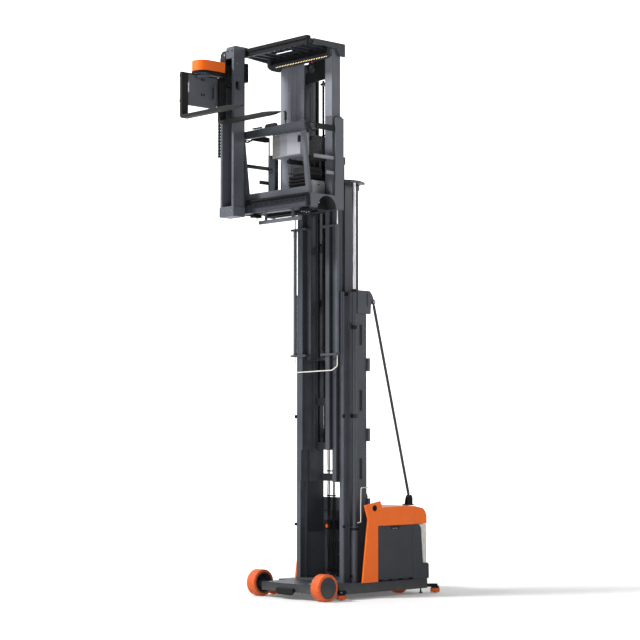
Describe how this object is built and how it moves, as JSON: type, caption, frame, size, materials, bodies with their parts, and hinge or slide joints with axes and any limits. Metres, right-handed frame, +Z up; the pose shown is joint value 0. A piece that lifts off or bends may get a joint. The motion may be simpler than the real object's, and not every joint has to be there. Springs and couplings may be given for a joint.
{
  "type": "three-way very-narrow-aisle forklift",
  "caption": "Man-up turret truck with telescopic mast, rising operator cab and side-swinging forks for narrow aisles.",
  "frame": {"origin": "middle of the truck's outline, on the floor", "axes": "+X forward to the load side, +Y to the truck's left, +Z up"},
  "size_m": [3.8, 1.667, 7.975],
  "materials": {
    "anthracite": "satin",
    "orange_paint": "gloss",
    "orange_polyurethane": "matte",
    "cream_paint": "satin",
    "black_steel": "satin",
    "fork_steel": "satin",
    "silver_paint": "satin",
    "battery_case": "matte",
    "black_plastic": "matte",
    "light_grey_plastic": "satin",
    "light_grey_panel": "satin",
    "seat_fabric": "matte"
  },
  "bodies": {
    "chassis": {"chassis_frame": "anthracite", "front_sensor_block": "black_plastic", "load_axles": "black_steel", "battery_block": "battery_case", "guide_brackets": "anthracite", "bulkhead": "anthracite", "side_covers": "orange_paint", "hood_top": "orange_paint", "rear_hood": "orange_paint", "rear_corner_panels": "anthracite", "rear_panel": "anthracite", "rear_bumper": "anthracite", "fixed_mast": "anthracite", "lift_cylinders": "silver_paint", "mast_stays": "anthracite"},
    "load_wheel_left": {"load_tyre_left": "orange_polyurethane", "load_hub_left": "black_steel"},
    "load_wheel_right": {"load_tyre_right": "orange_polyurethane", "load_hub_right": "black_steel"},
    "drive_unit_left": {"drive_unit_left": "black_steel"},
    "drive_unit_right": {"drive_unit_right": "black_steel"},
    "drive_wheel_left": {"drive_wheel_left": "orange_polyurethane"},
    "drive_wheel_right": {"drive_wheel_right": "orange_polyurethane"},
    "guide_roller_front_left": {"guide_roller_front_left": "orange_polyurethane"},
    "guide_roller_front_right": {"guide_roller_front_right": "orange_polyurethane"},
    "guide_roller_rear_left": {"guide_roller_rear_left": "orange_polyurethane"},
    "guide_roller_rear_right": {"guide_roller_rear_right": "orange_polyurethane"},
    "battery_door_left": {"battery_door_left": "anthracite"},
    "battery_door_right": {"battery_door_right": "anthracite"},
    "mast_stage_2": {"mast_stage_2": "anthracite"},
    "mast_stage_3": {"mast_stage_3": "anthracite"},
    "mast_stage_4": {"mast_stage_4": "anthracite", "cab_lift_cylinders": "silver_paint", "cylinder_line": "cream_paint"},
    "cab": {"cab_floor": "anthracite", "side_plates": "anthracite", "rear_post_left": "anthracite", "rear_wall": "light_grey_panel", "rear_header": "black_plastic", "overhead_guard": "anthracite", "light_beam": "black_plastic", "front_panel": "anthracite", "front_frame": "anthracite", "cab_carriage": "anthracite", "console": "light_grey_plastic", "seat_pedestal": "black_plastic", "seat_cushion": "seat_fabric", "seat_back": "seat_fabric", "side_locker": "light_grey_plastic", "underrun_bar": "anthracite", "upper_rail": "black_steel", "lower_rail": "black_steel"},
    "side_gate_left": {"side_gate_left": "black_steel"},
    "side_gate_right": {"side_gate_right": "black_steel"},
    "turret": {"turret_mast": "anthracite", "energy_chain": "black_plastic"},
    "lift_arm": {"lift_arm": "anthracite", "arm_cover": "orange_paint"},
    "fork_head": {"fork_carriage": "fork_steel", "forks": "fork_steel"}
  },
  "joints": [
    {"name": "load_wheel_left_spin", "type": "hinge", "parent": "chassis", "child": "load_wheel_left", "pos_m": [0.39, 0.7285, 0.19], "axis": [0, 1, 0], "continuous": true},
    {"name": "drive_steer_left", "type": "hinge", "parent": "chassis", "child": "drive_unit_left", "pos_m": [-1.38, 0.4485, 0.3], "axis": [0, 0, 1], "range_deg": [-90, 90]},
    {"name": "drive_wheel_left_spin", "type": "hinge", "parent": "drive_unit_left", "child": "drive_wheel_left", "pos_m": [-1.38, 0.4485, 0.18], "axis": [0, 1, 0], "continuous": true},
    {"name": "guide_roller_front_left_spin", "type": "hinge", "parent": "chassis", "child": "guide_roller_front_left", "pos_m": [0.09, 0.7635, 0.042], "axis": [0, 0, 1], "continuous": true},
    {"name": "guide_roller_rear_left_spin", "type": "hinge", "parent": "chassis", "child": "guide_roller_rear_left", "pos_m": [-1.83, 0.7635, 0.042], "axis": [0, 0, 1], "continuous": true},
    {"name": "battery_door_left_hinge", "type": "hinge", "parent": "chassis", "child": "battery_door_left", "pos_m": [-1, 0.7565, 0.242], "axis": [-1, 0, 0], "range_deg": [0, 90]},
    {"name": "side_gate_left_pivot", "type": "hinge", "parent": "cab", "child": "side_gate_left", "pos_m": [0.2, 0.7625, 6.11], "axis": [0, 1, 0], "range_deg": [-75, 0]},
    {"name": "load_wheel_right_spin", "type": "hinge", "parent": "chassis", "child": "load_wheel_right", "pos_m": [0.39, -0.6315, 0.19], "axis": [0, 1, 0], "continuous": true},
    {"name": "drive_steer_right", "type": "hinge", "parent": "chassis", "child": "drive_unit_right", "pos_m": [-1.38, -0.3515, 0.3], "axis": [0, 0, 1], "range_deg": [-90, 90]},
    {"name": "drive_wheel_right_spin", "type": "hinge", "parent": "drive_unit_right", "child": "drive_wheel_right", "pos_m": [-1.38, -0.3515, 0.18], "axis": [0, 1, 0], "continuous": true},
    {"name": "guide_roller_front_right_spin", "type": "hinge", "parent": "chassis", "child": "guide_roller_front_right", "pos_m": [0.09, -0.6665, 0.042], "axis": [0, 0, 1], "continuous": true},
    {"name": "guide_roller_rear_right_spin", "type": "hinge", "parent": "chassis", "child": "guide_roller_rear_right", "pos_m": [-1.83, -0.6665, 0.042], "axis": [0, 0, 1], "continuous": true},
    {"name": "battery_door_right_hinge", "type": "hinge", "parent": "chassis", "child": "battery_door_right", "pos_m": [-1, -0.6595, 0.242], "axis": [1, 0, 0], "range_deg": [0, 90]},
    {"name": "side_gate_right_pivot", "type": "hinge", "parent": "cab", "child": "side_gate_right", "pos_m": [0.2, -0.6655, 6.11], "axis": [0, 1, 0], "range_deg": [-75, 0]},
    {"name": "mast_stage_2_lift", "type": "slide", "parent": "chassis", "child": "mast_stage_2", "axis": [0, 0, 1], "range_m": [-1.39, 1.95]},
    {"name": "mast_stage_3_lift", "type": "slide", "parent": "mast_stage_2", "child": "mast_stage_3", "axis": [0, 0, 1], "range_m": [-0.46, 2.9]},
    {"name": "mast_stage_4_lift", "type": "slide", "parent": "mast_stage_3", "child": "mast_stage_4", "axis": [0, 0, 1], "range_m": [-1.13, 2.1]},
    {"name": "cab_lift", "type": "slide", "parent": "mast_stage_4", "child": "cab", "axis": [0, 0, 1], "range_m": [-2.23, 0.9]},
    {"name": "turret_traverse", "type": "slide", "parent": "cab", "child": "turret", "axis": [0, 1, 0], "range_m": [0, 1.4]},
    {"name": "auxiliary_lift", "type": "slide", "parent": "turret", "child": "lift_arm", "axis": [0, 0, 1], "range_m": [-1.54, 0]},
    {"name": "fork_head_swing", "type": "hinge", "parent": "lift_arm", "child": "fork_head", "pos_m": [1.49, -0.6515, 7.3], "axis": [0, 0, 1], "range_deg": [-180, 0]}
  ],
  "couplings": [
    {"joint": "drive_steer_right", "follows": "drive_steer_left", "ratio": 1}
  ]
}
